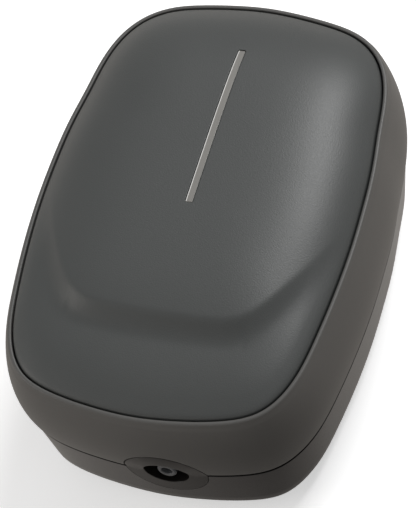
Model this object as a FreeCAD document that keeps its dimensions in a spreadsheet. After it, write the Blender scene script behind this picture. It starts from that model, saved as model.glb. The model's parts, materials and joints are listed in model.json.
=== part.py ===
import FreeCAD, Part
import math
import os
import Sketcher
from FreeCAD import Placement, Rotation, Vector

# Aquarium air pump: a two-part plastic housing with a domed inset cover and a
# recessed hose nipple, around a vibrating-arm diaphragm pump. Millimetres.
# Origin: on the floor under the middle of the overall box. +Z up, hose outlet to -Y (front).
# Positions below are measured from the middle of the housing and moved by shift_y.

doc = FreeCAD.newDocument("AquariumAirPump")
sheet = doc.addObject("Spreadsheet::Sheet", "dims")

# (alias, value, note)
ROWS = [
    # housing
    ("half_width", 42.0, "half the housing width at the parting line"),
    ("half_length", 60.7, "half the housing length at the parting line"),
    ("foot_rise", 2.5, "height of the base above the floor"),
    ("base_rise", 20.7, "height of the lower shell"),
    ("base_taper", 8.6, "lean of the lower wall, degrees"),
    ("base_round", 7.0, "radius between lower wall and underside"),
    ("wall", 2.2, "housing wall thickness"),
    ("floor_wall", 2.0, "thickness of the underside"),
    ("rim_mid", 28.2, "height of the cover groove above the parting line, middle"),
    ("rim_slope", 2.74, "slope of the groove towards the rear, per 60 mm"),
    ("rim_arch", -1.40, "arch of the groove, per 60 mm squared"),
    ("rim_lip", 1.4, "width of the lip outside the groove"),
    ("wall_bulge", 2.0, "outward bulge of the upper wall at half height"),
    ("dome_rise", 8.3, "rise of the cover above the groove"),
    ("dome_power", 4.4, "flatness of the cover's dome"),
    ("dome_mid", 7.2, "middle of the dome, Y"),
    ("cover_wall", 2.2, "cover thickness"),
    ("cover_seat", 3.2, "depth of the cover seat below the groove"),
    ("groove_half", 0.22, "half the groove width"),
    ("roof_wall", 2.0, "thickness of the deck under the cover"),
    ("step_drop", 2.9, "drop of the cover in front of the curved step"),
    ("step_run", 6.2, "width of the slope in front of the curved step"),
    ("seam_gap", 0.55, "shadow gap between the shells"),
    ("tongue_rise", 1.7, "height of the locating tongue"),
    ("shift_y", -11.675, "moves the middle of the overall box onto the origin"),
    # trim strip
    ("strip_half", 0.95, "half the strip width"),
    ("strip_front", -4.9, "front end of the strip, Y"),
    ("strip_rear", 41.5, "rear end of the strip, Y"),
    ("strip_depth", 1.0, "depth of the strip slot"),
    # hose outlet
    ("collar_x", 4.4, "outlet position across the front"),
    ("collar_rad", 10.4, "outer radius of the outlet collar"),
    ("pocket_rad", 5.7, "radius of the pocket round the nipple"),
    ("pocket_deep", 11.0, "depth of the pocket"),
    ("collar_flange_rad", 12.0, "collar flange radius"),
    ("nipple_rad", 2.5, "nipple outside radius"),
    ("nipple_bore", 1.42, "nipple bore radius"),
    ("nipple_len", 11.6, "straight length of the nipple"),
    ("barb_rad", 2.1, "radius of the inner hose tail"),
    ("barb_len", 5.0, "length of the inner hose tail"),
    ("hose_wall", 1.1, "wall of the inner hose"),
    # fixings
    ("screw_x", 27.0, "housing screw position"),
    ("screw_y", 40.0, "housing screw position"),
    ("boss_rad", 4.2, "screw boss radius"),
    ("screw_rad", 1.5, "housing screw radius"),
    ("screw_head_rad", 2.8, "housing screw head radius"),
    ("foot_x", 20.0, "foot position"),
    ("foot_y", 43.5, "foot position"),
    ("foot_rad", 4.5, "foot radius"),
    # filter
    ("filter_y", 4.0, "filter position"),
    ("filter_rad", 11.9, "filter cap radius"),
    ("filter_cup", 15.2, "filter cup outer radius"),
    ("filter_top", 7.8, "top of the filter cup above the floor"),
    # frame
    ("axis_z", 23.2, "height of the pump's centre plane"),
    ("frame_bottom", 9.7, "underside of the pump frame"),
    ("frame_top", 12.2, "top of the pump frame"),
    # magnet core
    ("core_half", 16.0, "half the core width"),
    ("core_stack", 14.0, "thickness of the lamination stack"),
    ("core_leg", 5.0, "outer leg width"),
    ("core_mid", 4.5, "half the middle leg width"),
    ("core_front", 14.0, "pole faces, Y"),
    ("core_back", 41.0, "back of the core, Y"),
    ("core_yoke", 7.0, "yoke thickness"),
    ("bobbin_half", 10.7, "half the bobbin flange size"),
    # arm
    ("pivot_y", -30.0, "arm pivot position"),
    ("pin_rad", 1.5, "pivot pin radius"),
    ("bush_gap", 0.05, "running clearance between pin and bush"),
    ("arm_thick", 3.0, "arm thickness"),
    ("arm_tip", 9.5, "arm tip, Y"),
    ("magnet_half", 8.0, "half the magnet width"),
    ("magnet_thick", 3.0, "magnet thickness"),
    # chamber
    ("chamber_y", -10.0, "chamber centre, Y"),
    ("chamber_x", 6.8, "chamber face nearest the arm, X"),
    ("chamber_half", 11.0, "half the chamber size"),
    ("chamber_bore", 8.5, "chamber bore radius"),
    ("diaphragm_rad", 10.4, "diaphragm radius"),
    ("diaphragm_thick", 1.2, "diaphragm thickness"),
    ("hub_rad", 5.5, "diaphragm hub plate radius"),
    ("flap_thick", 0.7, "valve flap thickness"),
    # cord
    ("cord_rad", 2.75, "mains cord radius"),
    ("cord_z", 14.0, "cord height"),
]


class Dim:
    """A number that keeps the sheet expression it came from."""

    def __init__(self, value, expr):
        self.value = float(value)
        self.expr = expr

    def __add__(self, other):
        other = dim(other)
        return Dim(self.value + other.value, "(%s + %s)" % (self.expr, other.expr))

    def __sub__(self, other):
        other = dim(other)
        return Dim(self.value - other.value, "(%s - %s)" % (self.expr, other.expr))

    def __mul__(self, other):
        other = dim(other)
        return Dim(self.value * other.value, "(%s * %s)" % (self.expr, other.expr))

    def __truediv__(self, other):
        other = dim(other)
        return Dim(self.value / other.value, "(%s / %s)" % (self.expr, other.expr))

    def __neg__(self):
        return Dim(-self.value, "(0 - %s)" % self.expr)


def dim(x):
    if isinstance(x, Dim):
        return x
    return Dim(x, "(%.6f)" % x if x >= 0 else "(0 - %.6f)" % -x)


class Names:
    pass


dims = Names()      # sizes tied to the sheet, for document objects
mm = Names()        # the same sizes as plain numbers, for free-form shapes
for row, (alias, value, note) in enumerate(ROWS, 1):
    sheet.set("A%d" % row, alias)
    sheet.set("B%d" % row, str(value))
    sheet.setAlias("B%d" % row, alias)
    sheet.set("C%d" % row, note)
    setattr(dims, alias, Dim(value, "dims." + alias))
    setattr(mm, alias, value)
doc.recompute()

# Turns that point a body's Z along another axis
TO_X = Rotation(Vector(0, 1, 0), 90)
TO_NEG_X = Rotation(Vector(0, 1, 0), -90)
TO_Y = Rotation(Vector(1, 0, 0), -90)
TO_NEG_Y = Rotation(Vector(1, 0, 0), 90)
TO_NEG_Z = Rotation(Vector(1, 0, 0), 180)

UP = Vector(0, 0, 1)
FRONTWARD = Vector(0, -1, 0)
REARWARD = Vector(0, 1, 0)

CORNERS = [(side, end) for side in (-1, 1) for end in (-1, 1)]


# ---- bound Part objects ----------------------------------------------------
def bind(obj, prop, value):
    obj.setExpression(prop, dim(value).expr)


def put(obj, x, y, z, turn=None):
    if turn is not None:
        obj.Placement = Placement(Vector(), turn)
    for axis, value in (("x", x), ("y", dims.shift_y + y), ("z", z)):
        bind(obj, "Placement.Base." + axis, value)
    return obj


def box(name, x0, x1, y0, y1, z0, z1):
    obj = doc.addObject("Part::Box", name)
    for prop, low, high in (("Length", x0, x1), ("Width", y0, y1), ("Height", z0, z1)):
        bind(obj, prop, dim(high) - low)
    return put(obj, x0, y0, z0)


def cyl(name, rad, length, x, y, z, turn=None):
    obj = doc.addObject("Part::Cylinder", name)
    bind(obj, "Radius", rad)
    bind(obj, "Height", length)
    return put(obj, x, y, z, turn)


def fuse(name, *shapes):
    obj = doc.addObject("Part::MultiFuse", name)
    obj.Shapes = list(shapes)
    return obj


def cut(name, base, *tools):
    obj = doc.addObject("Part::Cut", name)
    obj.Base = base
    obj.Tool = tools[0] if len(tools) == 1 else fuse(name + "_tools", *tools)
    return obj


def group(name, shapes):
    obj = doc.addObject("Part::Compound", name)
    obj.Links = list(shapes)
    return obj


# ---- bound PartDesign bodies -----------------------------------------------
def body(name, x, y, z, turn=None):
    return put(doc.addObject("PartDesign::Body", name), x, y, z, turn)


def origin_part(owner, role):
    return [part for part in owner.Origin.OriginFeatures if part.Role == role][0]


def sketch(owner, name, role="XY_Plane", lift=None):
    drawing = owner.newObject("Sketcher::SketchObject", name)
    drawing.AttachmentSupport = (origin_part(owner, role), [""])
    drawing.MapMode = "FlatFace"
    if lift is not None:
        bind(drawing, "AttachmentOffset.Base.z", lift)
    return drawing


def fix_point(drawing, shape, point, x, y):
    """Tie a point of a sketch shape to the sketch origin."""
    for kind, axis, value in (("DistanceX", -2, x), ("DistanceY", -1, y)):
        if abs(value.value) < 1e-9:
            drawing.addConstraint(Sketcher.Constraint("PointOnObject", shape, point, axis))
            continue
        ends = (-1, 1, shape, point)
        if value.value < 0:
            ends = (shape, point, -1, 1)
            value = -value
        index = drawing.addConstraint(Sketcher.Constraint(kind, *ends, value.value))
        drawing.setExpression("Constraints[%d]" % index, value.expr)


def outline(drawing, points):
    """Closed polygon; every corner is tied to the sheet."""
    points = [(dim(x), dim(y)) for x, y in points]
    count = len(points)
    first = drawing.GeometryCount
    corners = [Vector(x.value, y.value, 0) for x, y in points]
    for i in range(count):
        drawing.addGeometry(Part.LineSegment(corners[i], corners[(i + 1) % count]), False)
    for i in range(count):
        following = first + (i + 1) % count
        drawing.addConstraint(Sketcher.Constraint("Coincident", first + i, 2, following, 1))
    for i, (x, y) in enumerate(points):
        fix_point(drawing, first + i, 1, x, y)


def circle(drawing, x, y, rad):
    x, y, rad = dim(x), dim(y), dim(rad)
    shape = drawing.addGeometry(Part.Circle(Vector(x.value, y.value, 0), UP, rad.value), False)
    index = drawing.addConstraint(Sketcher.Constraint("Radius", shape, rad.value))
    drawing.setExpression("Constraints[%d]" % index, rad.expr)
    fix_point(drawing, shape, 3, x, y)


def rectangle(x0, x1, y0, y1):
    return [(x0, y0), (x1, y0), (x1, y1), (x0, y1)]


def pad(owner, drawing, length, name):
    step = owner.newObject("PartDesign::Pad", name)
    step.Profile = drawing
    bind(step, "Length", length)
    owner.Tip = step


def pocket(owner, drawing, length, name):
    """Pocket that cuts towards the sketch's +Z side."""
    step = owner.newObject("PartDesign::Pocket", name)
    step.Profile = drawing
    bind(step, "Length", length)
    step.Reversed = True
    owner.Tip = step
    return step


def turned(name, profile, x, y, z, turn=None):
    """Body of revolution; profile is (radius, height) pairs, axis is the body's Z."""
    owner = body(name, x, y, z, turn)
    drawing = sketch(owner, name + "_profile", "XZ_Plane")
    outline(drawing, profile)
    step = owner.newObject("PartDesign::Revolution", name + "_revolve")
    step.Profile = drawing
    step.ReferenceAxis = (drawing, ["V_Axis"])
    step.Angle = 360
    owner.Tip = step
    return owner


def small_screws(name, places, length, rad=1.0, head=2.0, turn=TO_NEG_Z):
    """Pan-head screws; places are under the heads, shanks run along each body's +Z."""
    profile = [(0, -1.0), (0.6, -1.6), (head - 0.5, -1.6), (head, -1.0), (head, 0),
               (rad, 0), (rad, length - 0.6), (0, length)]
    return group(name, [turned("%s_%d" % (name[:-1], k), profile, x, y, z, turn)
                        for k, (x, y, z) in enumerate(places)])


# ---- free-form surfaces of the housing -------------------------------------
# Right half of the parting outline, (x, y) from the rear middle round to the front middle
OUTLINE = [
    (0.0, 60.7), (8.38, 60.14), (16.77, 58.86), (25.1, 56.51), (32.16, 51.51), (36.74, 43.98),
    (38.86, 35.48), (39.83, 27.54), (40.77, 20.49), (41.41, 13.8), (41.73, 7.24), (41.94, 0.6),
    (42.0, -6.4), (41.76, -14.04), (41.15, -22.66), (40.03, -32.79), (37.53, -44.41),
    (31.2, -53.99), (21.27, -58.21), (10.65, -60.0), (0.0, -60.7)]
# (degrees from the rear about the dome's middle, inset of the groove from the outline)
GROOVE = [(0, 1.9), (30, 1.7), (50, 1.85), (90, 1.6), (125, 1.7), (140, 1.65), (155, 1.35),
          (180, 1.2)]
# Crest of the cover's curved step, (distance from the centre line, y)
STEP_CREST = [
    (0.0, -35.2), (5.0, -35.15), (10.0, -35.0), (14.6, -34.7), (17.5, -34.3), (19.9, -33.5),
    (22.0, -32.2), (23.8, -30.7), (26.6, -27.0), (30.1, -21.0), (33.8, -13.9), (36.9, -6.6),
    (40.5, 0.8), (45.0, 9.5)]
CREST_ROUNDING = 0.06       # mm squared, rounds the crest of the step
STEADY_SHARE = 0.42         # share of the step's run that has a steady slope
STEP_FADE = 0.35            # share of the dome's reach over which the step dies out
EDGE_COUNT = 96             # points in each housing ring
GROOVE_COUNT = 1440         # points in the polar table of the groove
WALL_HEIGHTS = [3.0 * k for k in range(1, 10)] + [34.0]   # upper wall rings above the parting

parting = mm.foot_rise + mm.base_rise
floor_top = mm.foot_rise + mm.floor_wall


def look_up(rows, at, flat_ends=False):
    """Smooth cubic look-up in (position, value) rows, held constant beyond the ends."""
    last = len(rows) - 1
    if at <= rows[0][0]:
        return rows[0][1]
    if at >= rows[last][0]:
        return rows[last][1]

    def slope(k):
        if flat_ends and k in (0, last):
            return 0.0
        before, after = rows[max(k - 1, 0)], rows[min(k + 1, last)]
        return (after[1] - before[1]) / (after[0] - before[0])

    i = max(k for k in range(last) if rows[k][0] <= at)
    width = rows[i + 1][0] - rows[i][0]
    u = (at - rows[i][0]) / width
    return ((2 * u**3 - 3 * u**2 + 1) * rows[i][1] + (u**3 - 2 * u**2 + u) * width * slope(i)
            + (-2 * u**3 + 3 * u**2) * rows[i + 1][1] + (u**3 - u**2) * width * slope(i + 1))


def closed_curve(points):
    curve = Part.BSplineCurve()
    curve.interpolate(Points=points, PeriodicFlag=True)
    return curve


def parting_curve():
    """The whole parting outline, stretched to the driving width and length."""
    x_scale = mm.half_width / max(x for x, y in OUTLINE)
    y_scale = mm.half_length / OUTLINE[0][1]
    right = [Vector(x * x_scale, y * y_scale, 0) for x, y in OUTLINE]
    left = [Vector(-point.x, point.y, 0) for point in right[1:-1]][::-1]
    return closed_curve(right + left)


base_curve = parting_curve()


def edge_points(count):
    """(point, inward normal, groove inset) at count places round the parting outline."""
    start, end = base_curve.FirstParameter, base_curve.LastParameter
    places = []
    for i in range(count):
        u = start + (end - start) * i / count
        point = base_curve.value(u)
        along = base_curve.tangent(u)[0]
        inward = Vector(-along.y, along.x, 0)
        if inward.dot(point) > 0:
            inward = -inward
        angle = math.degrees(math.atan2(abs(point.x), point.y - mm.dome_mid))
        places.append((point, inward, look_up(GROOVE, angle, flat_ends=True)))
    return places


EDGE = edge_points(EDGE_COUNT)


def rim_height(y):
    """Height of the cover groove at y."""
    share = y / 60.0
    return parting + mm.rim_mid + mm.rim_slope * share + mm.rim_arch * share * share


def ring(inset, z):
    """Closed wire at height z; inset is a number or a function of (point, groove inset)."""
    points = []
    for point, inward, groove in EDGE:
        moved = point + inward * (inset(point, groove) if callable(inset) else inset)
        moved.z = z
        points.append(moved)
    return Part.Wire([closed_curve(points).toShape()])


def groove_inset(extra):
    return lambda point, groove: groove + extra


def loft(wires):
    return Part.makeLoft(wires, True, True)


def prism(inset, z0, z1):
    return Part.Face(ring(inset, z0)).extrude(Vector(0, 0, z1 - z0))


def upper_solid(heights, extra=0.0):
    """Loft of the bulging upper wall through rings at heights above the parting line."""
    def wall_inset(height):
        def inset(point, groove):
            share = height / (rim_height(point.y) - parting)
            bulge = 4 * mm.wall_bulge * share * (1 - share) * (1 if share < 1 else 0.3)
            return (groove - mm.rim_lip) * share - bulge + extra
        return inset
    return loft([ring(wall_inset(height), parting + height) for height in heights])


def lower_solid(extra, bottom, top, rad):
    """Loft of the leaning lower wall with a rounded bottom edge."""
    lean = math.tan(math.radians(mm.base_taper))
    straight = top - bottom - rad
    low_inset = extra + lean * (parting - (bottom + rad))
    wires = [ring(extra + lean * (parting - top), top),
             ring(extra + lean * (parting - top + 0.5 * straight), top - 0.5 * straight),
             ring(low_inset, bottom + rad)]
    for degrees in range(18, 91, 18):
        angle = math.radians(degrees)
        wires.append(ring(low_inset + rad * (1 - math.cos(angle)),
                          bottom + rad - rad * math.sin(angle)))
    return loft(wires)


def rim_slab(drop, below):
    """Solid below (or above) the groove's height less drop, wider than the housing."""
    half_width, half_length, count = 60, 70.0, 29
    curve = Part.BSplineCurve()
    stations = [-half_length + 2 * half_length * i / (count - 1) for i in range(count)]
    curve.interpolate([Vector(-half_width, y, rim_height(y) - drop) for y in stations])
    start, end = curve.value(curve.FirstParameter), curve.value(curve.LastParameter)
    far = -20.0 if below else 120.0
    far_end = Vector(-half_width, end.y, far)
    far_start = Vector(-half_width, start.y, far)
    wire = Part.Wire([curve.toShape(), Part.makeLine(end, far_end),
                      Part.makeLine(far_end, far_start), Part.makeLine(far_start, start)])
    return Part.Face(wire).extrude(Vector(2 * half_width, 0, 0))


def polar_groove():
    """Sorted (angle, radius) of the groove about the dome's middle, one turn and a bit."""
    polar = []
    for point, inward, inset in edge_points(GROOVE_COUNT):
        moved = point + inward * inset
        across, along = moved.x, moved.y - mm.dome_mid
        polar.append((math.atan2(across, along), math.hypot(across, along)))
    polar.sort()
    (first_angle, first_rad), (last_angle, last_rad) = polar[0], polar[-1]
    turn = 2 * math.pi
    return [(last_angle - turn, last_rad)] + polar + [(first_angle + turn, first_rad)]


GROOVE_POLAR = polar_groove()


def groove_radius(angle):
    low, high = 0, len(GROOVE_POLAR) - 1
    while high - low > 1:
        middle = (low + high) // 2
        if GROOVE_POLAR[middle][0] <= angle:
            low = middle
        else:
            high = middle
    angle0, rad0 = GROOVE_POLAR[low]
    angle1, rad1 = GROOVE_POLAR[high]
    return rad0 + (rad1 - rad0) * (angle - angle0) / (angle1 - angle0)


def step_depth(x, y, reach):
    """How far the curved step lowers the cover; reach is 0 mid-dome and 1 at the groove."""
    widest = STEP_CREST[-1][0]
    side = min(abs(x), widest)
    near, far = max(side - 0.5, 0.0), min(side + 0.5, widest)
    slope = (look_up(STEP_CREST, far) - look_up(STEP_CREST, near)) / (far - near)
    ahead = (look_up(STEP_CREST, side) - y) / math.sqrt(1 + slope * slope)
    ahead = 0.5 * (ahead + math.sqrt(ahead * ahead + CREST_ROUNDING))
    run = min(ahead / mm.step_run, 1.0)
    # steady slope from the crest, then easing out
    if run < STEADY_SHARE:
        fall = run / ((1 + STEADY_SHARE) / 2)
    else:
        fall = 1 - (1 - run)**2 / (1 - STEADY_SHARE**2)
    fade = min(max((1 - reach) / STEP_FADE, 0.0), 1.0)
    return mm.step_drop * fall * fade * fade * (3 - 2 * fade)


def dome_height(x, y, step):
    along = y - mm.dome_mid
    rad = math.hypot(x, along)
    reach = rad / groove_radius(math.atan2(x, along)) if rad > 1e-6 else 0.0
    z = rim_height(y) + mm.dome_rise * (1 - min(reach, 1.25)**mm.dome_power)
    return z - step_depth(x, y, reach) if step else z


def dome_below(offset, step=True):
    """Solid under the dome surface shifted by offset, with or without the curved step."""
    half_x, half_y, depth = 44.0, 64.0, 60.0
    x_count, y_count = 45, 63
    grid = []
    for i in range(x_count):
        x = -half_x + 2 * half_x * i / (x_count - 1)
        stations = [-half_y + 2 * half_y * j / (y_count - 1) for j in range(y_count)]
        grid.append([Vector(x, y, dome_height(x, y, step) + offset) for y in stations])
    surface = Part.BSplineSurface()
    surface.interpolate(grid)
    return surface.toShape().extrude(Vector(0, 0, -depth))


def feature(name, shape):
    obj = doc.addObject("Part::Feature", name)
    obj.Shape = shape
    obj.Placement = Placement(Vector(0, mm.shift_y, 0), Rotation())
    return obj


def rod(rad, length, x, y, z, direction=UP):
    return Part.makeCylinder(rad, length, Vector(x, y, z), direction)


# ---- housing shells ---------------------------------------------------------
TONGUE_INSET = 1.4                      # outer face of the locating tongue
MOUNTS = [(-19.4, 28.0), (19.4, 28.0), (-15.0, -28.0), (15.0, -28.0)]    # (x, y)
CLAMP_X, CLAMP_Y = 8.0, 50.5            # cord clamp screws
CLAMP_HALF = 2.5                        # half the clamp's size along Y
CAP_LUG = 1.2                           # reach of the filter cap's lugs beyond its disc
AIR_HOLE_RAD, AIR_HOLE_PITCH_RAD = 1.3, 6.2
# Stepped hole for the cord grommet: (radius, start y, length towards the rear)
GROMMET_HOLES = [(4.2, 52, 14), (5.9, 50.9, 6), (6.4, 58.2, 14)]


def collar_holes(clearance):
    """Hole for the outlet collar and the wider slot for its flange."""
    return [rod(mm.collar_rad + clearance, 14, mm.collar_x, -52, mm.axis_z, FRONTWARD),
            rod(mm.collar_flange_rad + 0.2, 2.7, mm.collar_x, -55.4, mm.axis_z, FRONTWARD)]


def lower_shell_additions():
    base = mm.foot_rise
    sink = floor_top - 0.8              # posts start inside the floor
    cord_top = mm.cord_z + mm.cord_rad
    cord_bottom = mm.cord_z - mm.cord_rad
    adds = [rod(mm.boss_rad, parting - base - 0.8, side * mm.screw_x, end * mm.screw_y,
                base + 0.8) for side, end in CORNERS]
    adds.append(rod(mm.filter_cup, mm.filter_top - base - 0.5, 0, mm.filter_y, base + 0.5))
    for x, y in MOUNTS:
        adds.append(rod(5.4, 2.5, x, y, floor_top - 1.0))
    for side in (-1, 1):
        adds.append(rod(2.9, cord_top - floor_top + 0.85, side * CLAMP_X, CLAMP_Y, sink))
    adds.append(Part.makeBox(9, 2 * CLAMP_HALF, cord_bottom - floor_top + 0.8,
                             Vector(-4.5, CLAMP_Y - CLAMP_HALF, sink)))
    return adds


def lower_shell_cuts():
    recess = mm.foot_rise - 5.0         # recess tools start below the underside
    cuts = []
    for side, end in CORNERS:
        x, y = side * mm.screw_x, end * mm.screw_y
        cuts.append(rod(mm.screw_rad + 0.15, 40, x, y, -5))
        cuts.append(rod(mm.screw_head_rad + 0.25, 8.0, x, y, recess))
        x, y = side * mm.foot_x, end * mm.foot_y
        cuts.append(rod(mm.foot_rad + 0.15, 5.8, x, y, recess))
        cuts.append(rod(2.0, 20, x, y, -5))
    for x, y in MOUNTS:
        cuts.append(rod(4.1, 5, x, y, floor_top))
    # filter recess, the groove for the cap's lugs and the two slots leading into it
    cuts.append(rod(mm.filter_rad + 0.25, 8.8, 0, mm.filter_y, -2))
    cuts.append(rod(mm.filter_rad + 1.5, 1.3, 0, mm.filter_y, 3.4))
    for angle in (60, 240):
        slot = Part.makeBox(2.6, 6.2, 6.0, Vector(mm.filter_rad - 1.2, -3.1, -2.0))
        slot.rotate(Vector(), UP, angle)
        slot.translate(Vector(0, mm.filter_y, 0))
        cuts.append(slot)
    for k in range(6):
        angle = math.radians(60 * k)
        cuts.append(rod(AIR_HOLE_RAD, 6, AIR_HOLE_PITCH_RAD * math.cos(angle),
                        mm.filter_y + AIR_HOLE_PITCH_RAD * math.sin(angle), 4))
    cuts.append(rod(AIR_HOLE_RAD, 6, 0, mm.filter_y, 4))
    cuts += collar_holes(0.15)
    for rad, start, length in GROMMET_HOLES:
        cuts.append(rod(rad, length, 0, start, mm.cord_z, REARWARD))
    for side in (-1, 1):
        cuts.append(rod(1.1, 12, side * CLAMP_X, CLAMP_Y, 7.0))
    return cuts


def lower_shell():
    shell = lower_solid(0.0, mm.foot_rise, parting, mm.base_round)
    shell = shell.cut(lower_solid(mm.wall, floor_top, parting + 0.01, mm.base_round - 1.5))
    tongue = prism(TONGUE_INSET, parting - 2.0, parting + mm.tongue_rise)
    tongue = tongue.cut(prism(mm.wall + 0.15, parting - 3.0, parting + 5.0))
    shell = shell.fuse(tongue)
    shell = shell.fuse(lower_shell_additions())
    return feature("lower_shell", shell.cut(lower_shell_cuts()).removeSplitter())


def upper_shell():
    shell = upper_solid([mm.seam_gap] + WALL_HEIGHTS).common(rim_slab(0.0, True))
    inner = upper_solid([0.0] + WALL_HEIGHTS, mm.wall)
    shell = shell.cut(inner.common(rim_slab(mm.cover_seat + mm.roof_wall, True)))
    edge = groove_inset(-mm.groove_half)
    seat = loft([ring(edge, parting + 10), ring(edge, parting + 45)])
    shell = shell.cut(seat.common(rim_slab(mm.cover_seat, False)))
    shell = shell.cut(prism(TONGUE_INSET - 0.1, parting - 1.0, parting + mm.tongue_rise))
    places = [(side * mm.screw_x, end * mm.screw_y) for side, end in CORNERS]
    shell = shell.fuse([rod(3.6, rim_height(y) - mm.cover_seat - 0.8 - parting, x, y, parting)
                        for x, y in places])
    cuts = [rod(mm.screw_rad, 9.0, x, y, parting - 1.0) for x, y in places]
    return feature("upper_shell", shell.cut(cuts + collar_holes(0.3)).removeSplitter())


# ---- domed cover and its trim strip ----------------------------------------
STRIP_GAP = 0.12        # play round the strip, and its depth below the dome


def strip_bar(gap):
    """Upright bar with rounded corners, larger than the strip by gap all round."""
    half = mm.strip_half + gap
    front, rear = mm.strip_front - gap, mm.strip_rear + gap
    bar = Part.makeBox(2 * half, rear - front, 60, Vector(-half, front, 20))
    upright = [e for e in bar.Edges if abs(e.Vertexes[0].Z - e.Vertexes[1].Z) > 1]
    return bar.makeFillet(half * 0.45, upright)


def top_cover():
    edge = prism(groove_inset(mm.groove_half), parting + 5, parting + 60)
    cover = dome_below(0.0).common(edge).common(rim_slab(mm.cover_seat, False))
    inner_edge = groove_inset(mm.groove_half + mm.cover_wall)
    hollow = dome_below(-mm.cover_wall).common(prism(inner_edge, parting - 5, parting + 60))
    cover = cover.cut(hollow)
    slot = strip_bar(STRIP_GAP).cut(dome_below(-mm.strip_depth, step=False))
    return feature("top_cover", cover.cut(slot).removeSplitter())


def accent_strip():
    strip = strip_bar(0.0).common(dome_below(-STRIP_GAP, step=False))
    return feature("accent_strip", strip.cut(dome_below(-mm.strip_depth, step=False)))


# ---- outlet collar and nipple ----------------------------------------------
NIPPLE_SEAT_Y = -48.5       # rear of the collar, where the nipple's flange sits


def outlet_collar():
    def bar(rad, length, y):
        return rod(rad, length, mm.collar_x, y, mm.axis_z, FRONTWARD)

    front = -mm.half_length
    face = upper_solid([0.0] + WALL_HEIGHTS[:5])
    face = face.fuse(lower_solid(0.0, mm.foot_rise, parting, mm.base_round))
    collar = bar(mm.collar_rad, 10.0, front + 6.0).common(face)
    collar = collar.fuse([bar(mm.collar_flange_rad, 2.4, -55.5), bar(7.4, 9.0, NIPPLE_SEAT_Y)])
    collar = collar.cut([bar(mm.pocket_rad, 30, front + mm.pocket_deep),
                         bar(mm.nipple_rad + 0.1, 40, -40)])
    return feature("outlet_collar", collar.removeSplitter())


def outlet_nipple():
    """Body Z runs out of the pump; height 0 is the front of the flange."""
    bore, rad, length = dims.nipple_bore, dims.nipple_rad, dims.nipple_len
    flange_rad, flange = 6.0, 1.6
    tail = -(dims.barb_len + flange)
    return turned("outlet_nipple", [
        (bore, tail), (dims.barb_rad, tail), (dims.barb_rad, -flange), (flange_rad, -flange),
        (flange_rad, 0), (rad - 0.3, 0), (rad - 0.3, 1.25), (rad, 1.25), (rad, length - 0.35),
        (rad - 0.35, length), (bore + 0.2, length), (bore, length - 0.2)],
        dims.collar_x, NIPPLE_SEAT_Y, dims.axis_z, TO_NEG_Y)


# ---- feet and housing screws -----------------------------------------------
def four_turned(name, profile, x, y, z):
    """Four turned bodies at plus and minus x and y."""
    places = [(side, end) for end in (-1, 1) for side in (-1, 1)]
    return [turned("%s_%d" % (name, k), profile, x * side, y * end, z)
            for k, (side, end) in enumerate(places)]


def rubber_feet():
    rad, neck = dims.foot_rad, 1.9
    shoulder = dims.foot_rise + 0.8
    floor = dims.foot_rise + dims.floor_wall
    profile = [(0, 0), (rad - 0.8, 0), (rad, 0.8), (rad, shoulder), (neck, shoulder),
               (neck, floor), (2.8, floor), (1.4, floor + 2.2), (0, floor + 2.2)]
    return group("rubber_feet", four_turned("foot", profile, dims.foot_x, dims.foot_y, 0))


def housing_screws():
    rad, head = dims.screw_rad, dims.screw_head_rad
    head_top = 2.2
    profile = [(0, 1.2), (1.0, 0), (head - 0.5, 0), (head, 0.6), (head, head_top),
               (rad, head_top), (rad, 26.2), (0, 27.6)]
    screws = four_turned("housing_screw", profile, dims.screw_x, dims.screw_y, 3.3)
    return group("housing_screws", screws)


# ---- intake filter -----------------------------------------------------------
def filter_cap():
    cap = body("filter_cap", 0, dims.filter_y, dims.foot_rise)
    drawing = sketch(cap, "filter_cap_disc")
    circle(drawing, 0, 0, dims.filter_rad)
    pad(cap, drawing, 2.0, "filter_cap_pad")
    drawing = sketch(cap, "filter_cap_lugs", lift=1.0)
    lug = dims.filter_rad + CAP_LUG
    outline(drawing, rectangle(-lug, lug, -2.5, 2.5))
    pad(cap, drawing, 1.0, "filter_cap_lug_pad")
    # shallow dish in the underside with a bar left across it
    drawing = sketch(cap, "filter_cap_dish")
    circle(drawing, 0, 0, 9.0)
    outline(drawing, rectangle(-8.0, 8.0, -1.2, 1.2))
    pocket(cap, drawing, 0.9, "filter_cap_dish_cut")
    drawing = sketch(cap, "filter_cap_slot")
    outline(drawing, rectangle(3.6, 7.2, 1.8, 3.4))
    slot = pocket(cap, drawing, 3.0, "filter_cap_slot_cut")
    pattern = cap.newObject("PartDesign::PolarPattern", "filter_cap_slots")
    pattern.Originals = [slot]
    pattern.Axis = (origin_part(cap, "Z_Axis"), [""])
    pattern.Angle = 360
    pattern.Occurrences = 6
    cap.Tip = pattern
    return cap


def filter_felt():
    return cyl("filter_felt", dims.filter_rad - 0.2, 2.2, 0, dims.filter_y, 4.55)


# ---- pump frame --------------------------------------------------------------
axis = dims.axis_z
frame_bottom, frame_top = dims.frame_bottom, dims.frame_top
core_half, core_back = dims.core_half, dims.core_back
core_bottom = axis - dims.core_stack / 2
core_top = axis + dims.core_stack / 2
FRAME_HALF = 22.6                       # half the frame width, also the strap's feet
STRAP_X, STRAP_Y = 20.0, 37.5           # core strap screws
STRAP_HALF = 2.5                        # half the strap's size along Y
BRACKET_X, BRACKET_Y = 8.0, 2.5         # bracket screws from the pivot axis


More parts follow.
